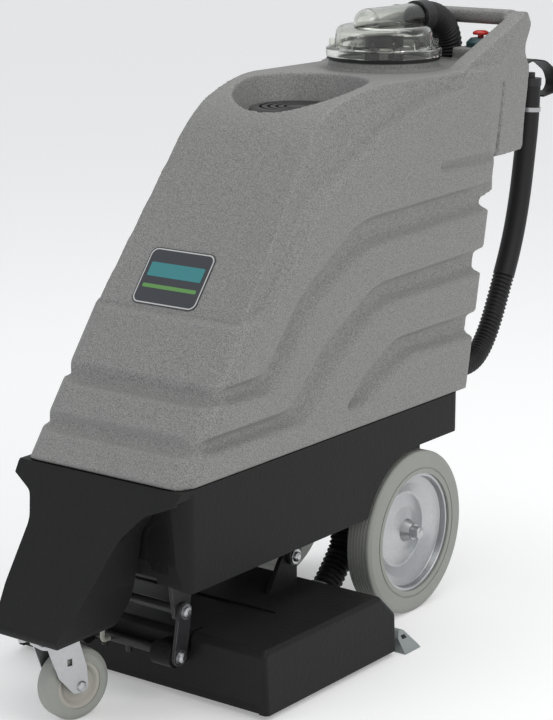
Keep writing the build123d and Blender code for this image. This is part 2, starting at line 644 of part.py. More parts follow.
save("brush_core", core + pulley(brush_pulley_dia, brush_y, brush_z, journal_dia - 1))
motor_shaft = rod_x(10, belt_x - 6, -100.1, motor_y, motor_z)
save("motor_pulley", pulley(motor_pulley_dia, motor_y, motor_z, 9.0) + motor_shaft)


def belt_loop(grow):
    rings = (Pos(brush_y, brush_z) * Circle(brush_pulley_dia / 2 + grow)).edges() + (Pos(motor_y, motor_z) * Circle(motor_pulley_dia / 2 + grow)).edges()
    return Plane.YZ.offset(belt_x - 5) * make_hull(rings)


belt_thickness = 2.2
belt = extrude(belt_loop(belt_thickness), amount=10) - extrude(belt_loop(0.0), amount=10)
save("drive_belt", belt)
motor_shell = rod_x(motor_dia, -120, 40, motor_y, motor_z) + rod_x(30, 40, 52, motor_y, motor_z) + block((-110, -60), (motor_y - 20, motor_y + 20), (motor_z, deck_top_z - deck_wall))
motor_shell = motor_shell - rod_x(10.1, -130, -100, motor_y, motor_z)
save("brush_motor", motor_shell)

spray_z = 70.0
spray_y = deck_front_y - 16.0
bar = rod_x(14, -60, 60, spray_y, spray_z) + block((-50, 50), (spray_y, deck_front_y - 7), (spray_z - 3, spray_z + 3))
for x in (-45, 0, 45):
    bar = bar + rod_z(9, spray_z - 15, spray_z, x, spray_y)
save("spray_bar", bar)
tube_x = -30.0
tube_y = spray_y - 20
tube_top = 144.0
tube_points = [(tube_x, spray_y - 7.1, spray_z), (tube_x, tube_y - 2, spray_z), (tube_x, tube_y, spray_z + 30), (tube_x, tube_y, tube_top)]
feed = tube(FilletPolyline(*tube_points, radius=eased(tube_points)), 7.0)
save("solution_tube", feed + rod_z(12, tube_top - 16, tube_top, tube_x, tube_y))

# ---- Vacuum shoe and the hose that joins it to the base ----
shoe_half = shoe_width / 2
shoe_front_y = shoe_y - shoe_depth / 2
shoe_rear_y = shoe_y + shoe_depth / 2
shoe_profile = [(shoe_front_y, 0.5), (shoe_front_y + 4, shoe_height - 8, 4), (shoe_y - 4, shoe_height, 4), (shoe_y + 6, shoe_height, 6), (shoe_rear_y, 6, 3), (shoe_rear_y + 2, 0.5)]
shoe = side_slab(shoe_profile, -shoe_half, shoe_half)
shoe_cut = side_slab([(shoe_y - 8, -1), (shoe_y - 6, shoe_height - 6), (shoe_y + 4, shoe_height - 6), (shoe_y + 8, -1)], -shoe_half + 14, shoe_half - 14)
end_cut = Plane(origin=(shoe_half, shoe_y, 0.5), x_dir=(0, 1, 0), z_dir=(24, 0, 20)) * Pos(0, 0, 30) * Box(300, 200, 60)
socket_length = 34.0
socket_plane = Plane(origin=(duct_x, shoe_y + 6, shoe_height - 2), z_dir=(0, 1, 1))
socket = socket_plane * Pos(0, 0, socket_length / 2) * Cylinder(duct_dia / 2, socket_length)
shoe = (shoe + socket) - pair(end_cut)
shoe = shoe - shoe_cut - socket_plane * Pos(0, 0, 20) * Cylinder(duct_dia / 2 - 6, 60)
save("vacuum_shoe", shoe)
duct_start = (socket_plane * Pos(0, 0, socket_length + lip_gap)).position
bend_z = duct_start.Z + duct_y - duct_start.Y
duct_points = [tuple(duct_start), (duct_x, duct_y, bend_z), (duct_x, duct_y, skirt_z - lip_gap)]
duct_path = FilletPolyline(*duct_points, radius=eased(duct_points))
save("shoe_hose", tube(duct_path, duct_dia - 8, duct_dia - 14))
collar = turned_z([(pipe_dia / 2, skirt_z), (duct_dia / 2, skirt_z), (duct_dia / 2, skirt_z + 26), (pipe_dia / 2 + 0.3, skirt_z + 26)], duct_x, duct_y)
save("duct_collar", collar)

# ---- Dome, gasket, float and recovery hose ----
neck_top = top_z + neck_rise
gasket = turned_z([(72, neck_top + 0.05), (flange_dia / 2 - 2, neck_top + 0.05), (flange_dia / 2 - 2, neck_top + gasket_thickness, 1), (72, neck_top + gasket_thickness, 1)], 0, dome_y)
save("dome_gasket", gasket)
lid_low = neck_top + gasket_thickness + 0.05
dome_r = dome_dia / 2
lid_outer = turned_z([(0, lid_low), (flange_dia / 2, lid_low), (flange_dia / 2, lid_low + 12, 3), (dome_r + 4, lid_low + 13.5, 2), (dome_r, lid_low + 17, 2), (dome_r - 3, dome_top_z, 12), (0, dome_top_z)], 0, dome_y)
lid_inner = turned_z([(0, lid_low - 1), (dome_r - 5, lid_low - 1), (dome_r - dome_wall - 3, dome_top_z - dome_wall, 10), (0, dome_top_z - dome_wall)], 0, dome_y)
port_outer = rod_y(port_dia, port_front_y, port_rear_y, 0, port_z) + Pos(0, port_front_y, port_z) * Sphere(port_dia / 2)
port_base = block((-port_dia / 2, port_dia / 2), (port_front_y, port_rear_y - 24), (dome_top_z - 12, port_z))
port_inner = rod_y(port_dia - 2 * dome_wall, port_front_y, port_rear_y + 1, 0, port_z) + Pos(0, port_front_y, port_z) * Sphere(port_dia / 2 - dome_wall)
lid = lid_outer + port_outer + (port_base & rod_z(dome_dia - 2, 800, 950, 0, dome_y))
lid = lid - lid_inner - port_inner
rib_count = 16
for index in range(rib_count):
    rib = Pos(0, dome_y, 0) * Rot(0, 0, index * 360 / rib_count) * block((dome_r - 1, flange_dia / 2 - 4), (-1.2, 1.2), (lid_low + 10, lid_low + 24))
    lid = lid + rib
save("dome_lid", lid)

cage_r = 30.0
cage = turned_z([(cage_r - 2, neck_top - 60), (cage_r, neck_top - 60), (cage_r, lid_low + 30), (cage_r - 2, lid_low + 30)], 0, dome_y)
for index in range(4):
    slot = Pos(0, dome_y, 0) * Rot(0, 0, index * 90 + 45) * block((0, cage_r + 5), (-12, 12), (neck_top - 46, lid_low + 8))
    cage = cage - slot
spider = block((-70, 70), (dome_y - 5, dome_y + 5), (neck_top - 60, neck_top - 56)) + block((-5, 5), (dome_y - 70, dome_y + 70), (neck_top - 60, neck_top - 56))
cage = cage + (spider & rod_z(135, 600, 900, 0, dome_y))
save("float_cage", cage)
float_z = neck_top - 34
save("float_ball", Pos(0, dome_y, float_z) * Sphere(21))

hose_start_y = port_rear_y + 14
hose_foot = top_z + hose_seat + lip_gap
hose_points = [(0, hose_start_y, port_z), (0, hose_y, port_z), (0, hose_y, hose_foot)]
hose_path = FilletPolyline(*hose_points, radius=[min(hose_y - hose_start_y, port_z - hose_foot) - 1])
hose = tube(hose_path, hose_dia, hose_dia - 6)
save("recovery_hose", hose)
cuff = rod_y(cuff_dia, port_rear_y - 12, hose_start_y - 0.1, 0, port_z) - rod_y(port_dia + 0.2, port_rear_y - 13, hose_start_y, 0, port_z)
save("hose_cuff", cuff)
pipe_points = [(0, hose_y, top_z - 20), (0, hose_y, top_z - 80), (pipe_x / 2, 130, top_z - 98),
               (pipe_x, pipe_foot_y, top_z - 260), (pipe_x, pipe_foot_y, seam_z - 6)]
pipe_path = FilletPolyline(*pipe_points, radius=[24, 120, 80])
save("vacuum_standpipe", tube(pipe_path, pipe_dia, pipe_dia - 5))
riser_points = [(duct_x, duct_y, skirt_z + 26.2), (duct_x, duct_y, seam_z + 30), (duct_x, 36, seam_z + 150), (duct_x, 46, top_z - 90)]
riser_path = FilletPolyline(*riser_points, radius=[40, 60])
save("recovery_pipe", tube(riser_path, pipe_dia, pipe_dia - 5))

# ---- Solution fill ----
floor_z = seam_z + pocket_floor
lid_ring = [(0, floor_z - 4), (fill_dia / 2 - 3, floor_z - 4), (fill_dia / 2 - 1, floor_z - 2), (fill_dia / 2 - 1, floor_z + 0.2), (cap_dia / 2, floor_z + 0.2), (cap_dia / 2, floor_z + 12, 2),
            (cap_dia / 2 - 6, floor_z + 15, 1), (0, floor_z + 15)]
fill_cap = turned_z(lid_ring, 0, fill_y)
for radius in (18, 30, 42, 54):
    fill_cap = fill_cap - turned_z([(radius, floor_z + 10), (radius + 4, floor_z + 10), (radius + 4, floor_z + 16), (radius, floor_z + 16)], 0, fill_y)
save("fill_cap", fill_cap)
rim = fill_dia / 2 - 0.02
strainer = turned_z([
    (0, floor_z - 62), (rim - 14, floor_z - 62), (rim - 8, floor_z - 9), (rim, floor_z - 9), (rim, floor_z - 5),
    (rim - 10, floor_z - 5), (rim - 16, floor_z - 60), (0, floor_z - 60),
], 0, fill_y)
save("fill_strainer", strainer)

divider_y = -28.0
divider = block((-half + 21, half - 21), (divider_y, divider_y + 4), (seam_z + 9, seam_z + 400))
divider = divider - tube(pipe_path, pipe_dia + 2) - tube(riser_path, pipe_dia + 2)
save("tank_divider", divider)

# ---- Vacuum motor and pump, inside the base ----
fan_x = pipe_x
fan_y = pipe_foot_y
can_low = 196.0
can_high = seam_z - 10
can = rod_z(100, can_low, can_high, fan_x, fan_y) - rod_z(92, can_low + 30, can_high - 4, fan_x, fan_y) - rod_z(pipe_dia - 4, can_high - 6, can_high + 1, fan_x, fan_y)
shaft_hole = rod_z(8.1, can_low + 10, can_low + 40, fan_x, fan_y)
save("vacuum_motor", can - shaft_hole)
fan = rod_z(86, can_low + 52, can_low + 55, fan_x, fan_y) + rod_z(8, can_low + 12, can_low + 62, fan_x, fan_y)
blades = 9
for index in range(blades):
    blade = Pos(fan_x, fan_y, can_low + 61) * Rot(0, 0, index * 360 / blades) * Pos(24, 0, 0) * Rot(0, 0, 28) * Box(32, 2, 13)
    fan = fan + blade
save("vacuum_fan", fan)
pump_body = block((-95, -45), (-420, -340), (262, 300)) + rod_y(34, -340, -300, -70, 281)
save("solution_pump", pump_body)

# ---- Controls ----
names = ("brush_switch", "vacuum_switch", "pump_switch")
for name, x, y in zip(names, switch_x, switch_y):
    rocker = side_slab([(y - 10, panel_z - 3), (y, panel_z - 9), (y + 10, panel_z - 3), (y + 10.5, panel_z + 5.5, 1), (y, panel_z + 2.5, 8), (y - 10.5, panel_z + 2.5, 1)], x - 5.5, x + 5.5)
    rocker = rocker + rod_x(4, x - 6.8, x + 6.8, y, panel_z - 2.2)
    save(name, rocker)
bezel = block((-97, -35), (278, 322), (panel_z + 0.05, panel_z + 2))
for x, y in zip(switch_x, switch_y):
    bezel = bezel - block((x - 6.2, x + 6.2), (y - 11.8, y + 11.8), (panel_z - 1, panel_z + 5))
save("switch_panel", bezel)
stop_base = turned_z([(6.6, panel_z + 0.05), (23, panel_z + 0.05), (23, panel_z + 7, 2), (16, panel_z + 14, 3), (6.6, panel_z + 14, 1)], stop_x, stop_y)
save("stop_switch", stop_base)
button = turned_z([(0, panel_z - 2), (5, panel_z - 2), (5, panel_z + 19.5), (13, panel_z + 19, 1), (13, panel_z + 23, 2), (8, panel_z + 25.5, 4), (0, panel_z + 26)], stop_x, stop_y)
save("stop_button", button)
rear_face = 338.0
inlet = rod_y(46, rear_face + 6, rear_face + 10, inlet_x, inlet_z) + rod_y(32, 302, rear_face + 7, inlet_x, inlet_z) - rod_y(24, 310, rear_face + 20, inlet_x, inlet_z)
save("power_inlet", inlet)

# ---- Drain hose down the back ----
outlet_z = seam_z + outlet_rise
spigot_y = 163.0
spigot = rod_y(drain_dia, 132, spigot_y + 5, drain_x, outlet_z) + rod_y(drain_dia + 10, spigot_y, spigot_y + 5, drain_x, outlet_z)
save("drain_spigot", spigot - rod_y(drain_dia - 6, 100, spigot_y + 6, drain_x, outlet_z))
drain_points = [
    (drain_x, spigot_y + 5.4, outlet_z), (drain_x, 188, outlet_z), (drain_x, 220, outlet_z - 10), (drain_x, 258, outlet_z - 2),
    (drain_x, 294, outlet_z + 34),
    (drain_x, 332, outlet_z + 108), (drain_x, 362, outlet_z + 172), (drain_x, 382, outlet_z + 240), (drain_x, 394, outlet_z + 310),
    (drain_x, 404, outlet_z + 372), (drain_x, 405, outlet_z + 422),
]
hose_line = FilletPolyline(*drain_points, radius=eased(drain_points))
end_dir = hose_line % 1
save("drain_hose", tube(hose_line, drain_dia, drain_dia - 6))
print("drain hose", round(hose_line.length), "bend radii", [round(r) for r in eased(drain_points)])
print("shoe hose", round(duct_path.length), "bend radii", [round(r) for r in eased(duct_points)])
print("recovery hose", round(hose_path.length))
end_plane = Plane(origin=hose_line @ 1, z_dir=end_dir)
plug = end_plane * (Pos(0, 0, 6.2) * Cylinder(drain_dia / 2 + 1, 12) + Pos(0, 0, -8) * Cylinder(drain_dia / 2 - 3.2, 18) + Pos(0, 0, 16) * Cylinder(8, 10))
save("drain_plug", plug)
clamp_plane = Plane(origin=hose_line @ 0.93, z_dir=hose_line % 0.93)
clamp = clamp_plane * (Cylinder(drain_dia / 2 + 1.6, 7) - Cylinder(drain_dia / 2 + 0.3, 9))
save("hose_clamp", clamp)
strap_line = [(345, top_z - 18), (395, top_z - 6), (434, top_z - 12), (468, top_z - 30), (480, top_z - 52), (468, top_z - 64), (430, top_z - 68)]
strap_path = Plane.YZ.offset(drain_x) * FilletPolyline(*strap_line, radius=[60, 50, 30, 14, 10])
strap_section = Plane(origin=strap_path @ 0, z_dir=strap_path % 0, x_dir=(1, 0, 0)) * Rectangle(24, 3)
save("hose_strap", sweep(strap_section, path=strap_path))

# ---- Fasteners that hold the tank to the base and the caster to the leg ----
bolts = []
for x, y in bolt_spots:
    bolts.append(rod_z(8, plate_low - 6, leg_z + 6, x, y) + rod_z(13, plate_low - 6, plate_low - 0.1, x, y))
save("caster_bolts", *bolts)
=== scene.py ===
import math

import bmesh
import bpy
from mathutils import Matrix, Vector


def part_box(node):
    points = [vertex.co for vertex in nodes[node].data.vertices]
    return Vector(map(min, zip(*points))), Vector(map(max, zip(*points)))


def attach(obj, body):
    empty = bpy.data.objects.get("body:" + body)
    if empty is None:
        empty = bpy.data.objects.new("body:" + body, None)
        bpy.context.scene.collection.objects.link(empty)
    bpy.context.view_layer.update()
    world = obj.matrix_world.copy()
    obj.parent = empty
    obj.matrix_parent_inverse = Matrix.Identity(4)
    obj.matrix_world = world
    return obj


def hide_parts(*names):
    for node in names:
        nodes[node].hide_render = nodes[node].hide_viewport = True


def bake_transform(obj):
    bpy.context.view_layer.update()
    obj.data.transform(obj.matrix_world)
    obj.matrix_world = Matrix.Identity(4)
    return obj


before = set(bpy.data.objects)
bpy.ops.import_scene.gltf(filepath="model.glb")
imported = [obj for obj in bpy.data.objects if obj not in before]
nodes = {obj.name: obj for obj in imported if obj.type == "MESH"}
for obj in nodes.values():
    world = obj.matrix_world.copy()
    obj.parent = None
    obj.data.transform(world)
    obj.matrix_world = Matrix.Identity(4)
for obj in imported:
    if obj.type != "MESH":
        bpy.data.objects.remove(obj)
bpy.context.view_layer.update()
axleY = sum(corner.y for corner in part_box("rear_axle")) / 2

bpy.ops.object.select_all(action="DESELECT")


# Camera and light
cameraSetup = {"place": (1.9288, -2.6105, 1.1908), "yaw": 36.9, "down": 13.7, "lens": 111.335}
cameraData = bpy.data.cameras.new("viewCamera")
cameraData.lens = cameraSetup["lens"]
camera = bpy.data.objects.new("viewCamera", cameraData)
camera.location = cameraSetup["place"]
camera.rotation_euler = (math.radians(90 - cameraSetup["down"]), 0, math.radians(cameraSetup["yaw"]))
bpy.context.scene.collection.objects.link(camera)
bpy.context.scene.camera = camera

studio = {
    "world": (0.97, 0.98, 1.0), "worldStrength": 0.62, "aim": (0, 0, 0.4),
    "lamps": [
        {"name": "keyLamp", "place": (2.6, -0.6, 2.6), "size": 1.5,
         "power": 26, "colour": (1.0, 0.985, 0.95)},
        {"name": "frontLamp", "place": (-1.6, -2.8, 1.9), "size": 1.8,
         "power": 9, "colour": (0.95, 0.98, 1.0)},
        {"name": "topLamp", "place": (0.0, 0.6, 3.2), "size": 2.2,
         "power": 24, "colour": (1.0, 1.0, 1.0)},
    ],
}
world = bpy.data.worlds.new("studioWorld")
world.use_nodes = True
background = world.node_tree.nodes["Background"]
background.inputs["Color"].default_value = (*studio["world"], 1)
background.inputs["Strength"].default_value = studio["worldStrength"]
bpy.context.scene.world = world
bpy.context.scene.view_settings.view_transform = "Standard"
for lamp in studio["lamps"]:
    data = bpy.data.lights.new(lamp["name"], "AREA")
    data.size = lamp["size"]
    data.energy = lamp["power"]
    data.color = lamp["colour"]
    lampObject = bpy.data.objects.new(lamp["name"], data)
    lampObject.location = lamp["place"]
    aim = Vector(studio["aim"]) - Vector(lamp["place"])
    lampObject.rotation_euler = aim.to_track_quat("-Z", "Y").to_euler()
    bpy.context.scene.collection.objects.link(lampObject)
print("camera and lamps placed")


# Shared effects
def newGroup(name, numbers, outputs):
    group = bpy.data.node_groups.new(name, "ShaderNodeTree")
    for label, value in numbers.items():
        socket = group.interface.new_socket(name=label, in_out="INPUT", socket_type="NodeSocketFloat")
        socket.default_value = value
    for label, kind in outputs.items():
        group.interface.new_socket(name=label, in_out="OUTPUT", socket_type=kind)
    return group, group.nodes.new("NodeGroupInput"), group.nodes.new("NodeGroupOutput")


def addNode(tree, kind, **settings):
    node = tree.nodes.new(kind)
    for key, value in settings.items():
        setattr(node, key, value)
    return node


def mathNode(tree, operation, first, second=None, clamp=False):
    node = addNode(tree, "ShaderNodeMath", operation=operation, use_clamp=clamp)
    for socket, value in zip(node.inputs, (first, second)):
        if value is None:
            continue
        if isinstance(value, (int, float)):
            socket.default_value = value
        else:
            tree.links.new(value, socket)
    return node.outputs[0]


def objectNoise(tree, scale, detail=3.0, roughness=0.55):
    place = addNode(tree, "ShaderNodeTexCoord")
    noise = addNode(tree, "ShaderNodeTexNoise")
    noise.inputs["Detail"].default_value = detail
    noise.inputs["Roughness"].default_value = roughness
    tree.links.new(place.outputs["Object"], noise.inputs["Vector"])
    if isinstance(scale, (int, float)):
        noise.inputs["Scale"].default_value = scale
    else:
        tree.links.new(scale, noise.inputs["Scale"])
    return noise.outputs["Fac"]


# Moulded grain: a fine speckle for the colour and a pebbled height for the bump
grainMake = {
    "detail": 2.0, "fineRough": 0.7, "coarseRough": 0.5, "coarseShare": 0.31, "middle": 0.5, "fineHeight": 0.5}
grainGroup, groupIn, groupOut = newGroup(
    "mouldGrain", {"Scale": 900.0, "Contrast": 1.0},
    {"Speckle": "NodeSocketFloat", "Height": "NodeSocketFloat"})
fine = objectNoise(grainGroup, groupIn.outputs["Scale"], grainMake["detail"], grainMake["fineRough"])
coarseScale = mathNode(grainGroup, "MULTIPLY", groupIn.outputs["Scale"], grainMake["coarseShare"])
coarse = objectNoise(grainGroup, coarseScale, grainMake["detail"], grainMake["coarseRough"])
fromMiddle = mathNode(grainGroup, "SUBTRACT", fine, grainMake["middle"])
spread = mathNode(grainGroup, "MULTIPLY", fromMiddle, groupIn.outputs["Contrast"])
grainGroup.links.new(
    mathNode(grainGroup, "ADD", spread, grainMake["middle"], True), groupOut.inputs["Speckle"])
pebbles = mathNode(grainGroup, "MULTIPLY", fine, grainMake["fineHeight"])
grainGroup.links.new(mathNode(grainGroup, "ADD", pebbles, coarse), groupOut.inputs["Height"])

# Painted shade: a dark tone painted into corners and creases where ambient occlusion finds them, fading over
# open faces, broken up by a cloudy pattern
cornerShadeMake = {"cloudScale": 14.0, "cloudDetail": 5.0, "cloudRough": 0.6, "least": 0.2}
cornerShadeGroup, groupIn, groupOut = newGroup(
    "paintedCornerShade", {"Reach": 0.03, "Amount": 0.5}, {"Mask": "NodeSocketFloat"})
# ambient occlusion picks out the corners that get the painted shade
occlusion = addNode(cornerShadeGroup, "ShaderNodeAmbientOcclusion", samples=6)
cornerShadeGroup.links.new(groupIn.outputs["Reach"], occlusion.inputs["Distance"])
hidden = mathNode(cornerShadeGroup, "SUBTRACT", 1.0, occlusion.outputs["AO"])
clouds = objectNoise(cornerShadeGroup, cornerShadeMake["cloudScale"], cornerShadeMake["cloudDetail"], cornerShadeMake["cloudRough"])
cloud = mathNode(cornerShadeGroup, "MULTIPLY_ADD", clouds, 1.0)
cloud.node.inputs[2].default_value = cornerShadeMake["least"]
occludedShade = mathNode(cornerShadeGroup, "MULTIPLY", hidden, cloud)
cornerShadeGroup.links.new(
    mathNode(cornerShadeGroup, "MULTIPLY", occludedShade, groupIn.outputs["Amount"], True), groupOut.inputs["Mask"])

# Edge wear: where the bevelled normal leaves the face's own
wearMake = {"gain": 6.0, "patchScale": 60.0, "patchDetail": 4.0, "patchRough": 0.7, "patchFrom": 0.45}
wearGroup, groupIn, groupOut = newGroup(
    "edgeWear", {"Width": 0.003, "Amount": 0.6}, {"Mask": "NodeSocketFloat"})
rounded = addNode(wearGroup, "ShaderNodeBevel", samples=4)
wearGroup.links.new(groupIn.outputs["Width"], rounded.inputs["Radius"])
flat = addNode(wearGroup, "ShaderNodeNewGeometry")
along = addNode(wearGroup, "ShaderNodeVectorMath", operation="DOT_PRODUCT")
wearGroup.links.new(rounded.outputs["Normal"], along.inputs[0])
wearGroup.links.new(flat.outputs["Normal"], along.inputs[1])
leaving = mathNode(wearGroup, "SUBTRACT", 1.0, along.outputs["Value"])
turned = mathNode(wearGroup, "MULTIPLY", leaving, wearMake["gain"], True)
patches = objectNoise(wearGroup, wearMake["patchScale"], wearMake["patchDetail"], wearMake["patchRough"])
patchy = mathNode(wearGroup, "GREATER_THAN", patches, wearMake["patchFrom"])
worn = mathNode(wearGroup, "MULTIPLY", turned, patchy)
wearGroup.links.new(
    mathNode(wearGroup, "MULTIPLY", worn, groupIn.outputs["Amount"], True), groupOut.inputs["Mask"])

# Dust: settles on what faces up
dustMake = {"detail": 6.0, "rough": 0.65, "falloff": 2.0}
dustGroup, groupIn, groupOut = newGroup(
    "settledDust", {"Amount": 0.2, "Scale": 30.0}, {"Mask": "NodeSocketFloat"})
facing = addNode(dustGroup, "ShaderNodeSeparateXYZ")
geometry = addNode(dustGroup, "ShaderNodeNewGeometry")
dustGroup.links.new(geometry.outputs["Normal"], facing.inputs[0])
above = mathNode(dustGroup, "MAXIMUM", facing.outputs["Z"], 0.0)
upward = mathNode(dustGroup, "POWER", above, dustMake["falloff"])
flecks = objectNoise(dustGroup, groupIn.outputs["Scale"], dustMake["detail"], dustMake["rough"])
drift = mathNode(dustGroup, "MULTIPLY", upward, flecks)
dustGroup.links.new(
    mathNode(dustGroup, "MULTIPLY", drift, groupIn.outputs["Amount"], True), groupOut.inputs["Mask"])


def mixColour(tree, factor, first, second):
    mix = addNode(tree, "ShaderNodeMix", data_type="RGBA")
    for socketName, value in (("Factor", factor), ("A", first), ("B", second)):
        socket = mix.inputs[socketName]
        if isinstance(value, tuple):
            socket.default_value = (*value, 1)
        elif isinstance(value, (int, float)):
            socket.default_value = value
        else:
            tree.links.new(value, socket)
    return mix.outputs["Result"]


def placeGroup(tree, group, **values):
    node = addNode(tree, "ShaderNodeGroup", node_tree=group)
    for key, value in values.items():
        node.inputs[key].default_value = value
    return node


def makeFinish(name, look):
    # One surface: grain, cloudy tone, worn edges, painted shade in corners and dust on top, each in its own
    # amount
    material = bpy.data.materials.new(name)
    material.use_nodes = True
    tree = material.node_tree
    shader = tree.nodes["Principled BSDF"]
    grain = placeGroup(
        tree, grainGroup, Scale=look.get("grainScale", 900.0), Contrast=look.get("speckle", 0.6))
    base = mixColour(tree, grain.outputs["Speckle"], look["dark"], look["light"])
    cloudy = objectNoise(tree, look.get("cloudScale", 5.0), 4.0, 0.6)
    cloudy = mathNode(tree, "SUBTRACT", cloudy, 0.35, True)
    cloudy = mathNode(tree, "MULTIPLY", cloudy, look.get("cloud", 0.5), True)
    base = mixColour(tree, cloudy, base, look.get("cloudTone", look["dark"]))
    if look.get("wear"):
        wear = placeGroup(tree, wearGroup, Width=look.get("wearWidth", 0.002), Amount=look["wear"])
        base = mixColour(tree, wear.outputs["Mask"], base, look.get("wearTone", look["light"]))
    # painted shade: the base colour is darkened toward a dark tone in corners and creases found by ambient
    # occlusion
    paintedShade = placeGroup(tree, cornerShadeGroup, Reach=look.get("shadeReach", 0.02), Amount=look.get("paintedShade", 0.4))
    base = mixColour(tree, paintedShade.outputs["Mask"], base, look.get("shadeTone", (0.03, 0.028, 0.025)))
    dust = placeGroup(tree, dustGroup, Amount=look.get("dust", 0.1), Scale=look.get("dustScale", 30.0))
    base = mixColour(tree, dust.outputs["Mask"], base, look.get("dustTone", (0.36, 0.34, 0.31)))
    tree.links.new(base, shader.inputs["Base Color"])
    rough = mathNode(tree, "MULTIPLY_ADD", grain.outputs["Speckle"], look.get("roughSpread", 0.12))
    rough.node.inputs[2].default_value = look["rough"]
    rough = mathNode(tree, "ADD", rough, mathNode(tree, "MULTIPLY", dust.outputs["Mask"], 0.3), True)
    tree.links.new(rough, shader.inputs["Roughness"])
    shader.inputs["Metallic"].default_value = look.get("metal", 0.0)
    shader.inputs["Specular IOR Level"].default_value = look.get("specular", 0.5)
    bump = addNode(tree, "ShaderNodeBump")
    bump.inputs["Strength"].default_value = look.get("bump", 0.25)
    bump.inputs["Distance"].default_value = look.get("bumpDepth", 0.0006)
    tree.links.new(grain.outputs["Height"], bump.inputs["Height"])
    tree.links.new(bump.outputs["Normal"], shader.inputs["Normal"])
    return material


# the corner-darkening amount, reach and tone in these looks set painted shade in corners and creases,
# strongest on the tank's grooves
finishes = {
    "tankGrey": {
        "dark": (0.125, 0.126, 0.122), "light": (0.315, 0.315, 0.306), "speckle": 3.4,
        "grainScale": 560.0, "rough": 0.46, "bump": 0.4, "bumpDepth": 0.0007, "paintedShade": 0.8,
        "shadeReach": 0.022, "shadeTone": (0.07, 0.069, 0.065), "cloud": 0.35,
        "cloudTone": (0.19, 0.19, 0.182), "dust": 0.10},
    "housingBlack": {
        "dark": (0.004, 0.004, 0.0045), "light": (0.012, 0.012, 0.0125), "speckle": 2.4,
        "grainScale": 480.0, "rough": 0.46, "specular": 0.20, "bump": 0.5, "bumpDepth": 0.0008,
        "cloud": 0.5, "cloudTone": (0.013, 0.013, 0.013), "wear": 0.25, "wearTone": (0.04, 0.04, 0.04),
        "dust": 0.03, "paintedShade": 0.3},
    "plainBlack": {
        "dark": (0.008, 0.008, 0.009), "light": (0.016, 0.016, 0.017), "rough": 0.36, "bump": 0.15,
        "dust": 0.06, "wear": 0.2, "wearTone": (0.07, 0.07, 0.07)},
    "rubberBlack": {
        "dark": (0.006, 0.006, 0.007), "light": (0.013, 0.013, 0.014), "rough": 0.46, "bump": 0.3,
        "dust": 0.04, "specular": 0.35},
    "tyreGrey": {
        "dark": (0.25, 0.26, 0.24), "light": (0.36, 0.37, 0.34), "rough": 0.62, "grainScale": 700.0,
        "bump": 0.35, "cloud": 0.6, "cloudTone": (0.21, 0.22, 0.195), "dust": 0.1, "wear": 0.4,
        "wearTone": (0.42, 0.415, 0.385)},
    "zincPlate": {
        "dark": (0.42, 0.43, 0.44), "light": (0.62, 0.63, 0.64), "rough": 0.28, "metal": 1.0,
        "grainScale": 160.0, "bump": 0.08, "cloud": 0.5, "cloudTone": (0.35, 0.37, 0.40), "paintedShade": 0.6,
        "dust": 0.1},
    "steelPaint": {
        "dark": (0.018, 0.018, 0.02), "light": (0.03, 0.03, 0.032), "rough": 0.33, "bump": 0.1,
        "wear": 0.5, "wearTone": (0.25, 0.25, 0.26), "dust": 0.12},
    "hubBeige": {
        "dark": (0.35, 0.34, 0.30), "light": (0.46, 0.44, 0.39), "rough": 0.45, "bump": 0.15,
        "paintedShade": 0.9, "dust": 0.05},
    "stopRed": {
        "dark": (0.50, 0.018, 0.012), "light": (0.62, 0.03, 0.02), "speckle": 0.3, "rough": 0.22,
        "bump": 0.04, "dust": 0.04, "cloud": 0.2, "cloudTone": (0.42, 0.015, 0.01)},
    "switchTeal": {
        "dark": (0.010, 0.045, 0.052), "light": (0.016, 0.07, 0.08), "rough": 0.35, "bump": 0.1,
        "dust": 0.08},
    "pipeGrey": {"dark": (0.3, 0.3, 0.29), "light": (0.4, 0.4, 0.38), "rough": 0.4},
    "shoeAlloy": {
        "dark": (0.30, 0.33, 0.33), "light": (0.42, 0.45, 0.45), "rough": 0.42, "metal": 0.6,
        "bump": 0.15, "paintedShade": 0.7, "cloud": 0.5, "cloudTone": (0.22, 0.26, 0.26)},
    "bristleBlack": {
        "dark": (0.02, 0.02, 0.022), "light": (0.08, 0.08, 0.085), "speckle": 2.0, "grainScale": 1500.0,
        "rough": 0.6, "bump": 0.8},
    "floatIvory": {"dark": (0.6, 0.57, 0.48), "light": (0.7, 0.67, 0.58), "rough": 0.4},
    "tubeMilky": {"dark": (0.35, 0.35, 0.30), "light": (0.5, 0.5, 0.44), "rough": 0.25},
    "labelFilm": {
        "dark": (0.030, 0.034, 0.042), "light": (0.038, 0.043, 0.052), "speckle": 0.3, "rough": 0.25,
        "bump": 0.02, "dust": 0.04},
    "labelBorder": {
        "dark": (0.50, 0.51, 0.50), "light": (0.60, 0.61, 0.60), "speckle": 0.3, "rough": 0.3,
        "bump": 0.02, "dust": 0.04},
    "labelTeal": {
        "dark": (0.03, 0.20, 0.22), "light": (0.04, 0.24, 0.26), "speckle": 0.3, "rough": 0.28,
        "bump": 0.02, "dust": 0.04},
    "labelGreen": {
        "dark": (0.10, 0.26, 0.07), "light": (0.12, 0.30, 0.08), "speckle": 0.3, "rough": 0.28,
        "bump": 0.02, "dust": 0.04},
}
materials = {name: makeFinish(name, look) for name, look in finishes.items()}

